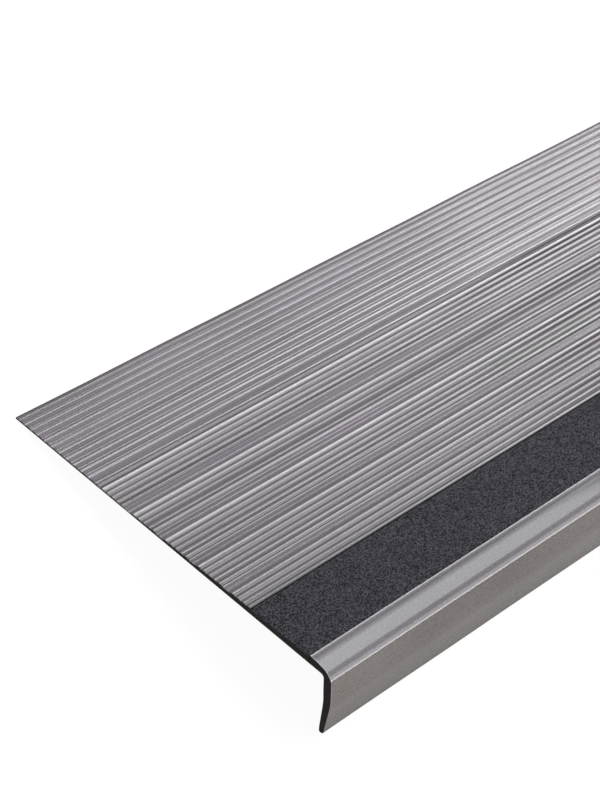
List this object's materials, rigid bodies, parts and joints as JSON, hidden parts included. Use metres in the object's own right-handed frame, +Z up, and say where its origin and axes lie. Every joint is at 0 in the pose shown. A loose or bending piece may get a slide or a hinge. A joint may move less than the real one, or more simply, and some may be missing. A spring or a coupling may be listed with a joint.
{
  "type": "vinyl stair tread",
  "caption": "Flexible stair tread with a square nose lip, a ribbed top that thins towards the rear, and a black grit strip let in behind the nose.",
  "frame": {"origin": "on the floor under the middle of the tread's bounding box", "axes": "+X along the length of the step, +Y from the nose to the rear edge, +Z up; the tread is stored as it rests unheld on a level floor, on the tip of its lip and its rear edge, so its flat underside is tilted 9.42 degrees about X"},
  "size_m": [0.9144, 0.304, 0.0542],
  "materials": {
    "vinyl": "satin grey vinyl, moulded lengthwise",
    "grit": "rough black mineral grit"
  },
  "bodies": {
    "root": {"vinyl_tread": "vinyl", "grit_strip": "grit"}
  },
  "joints": []
}
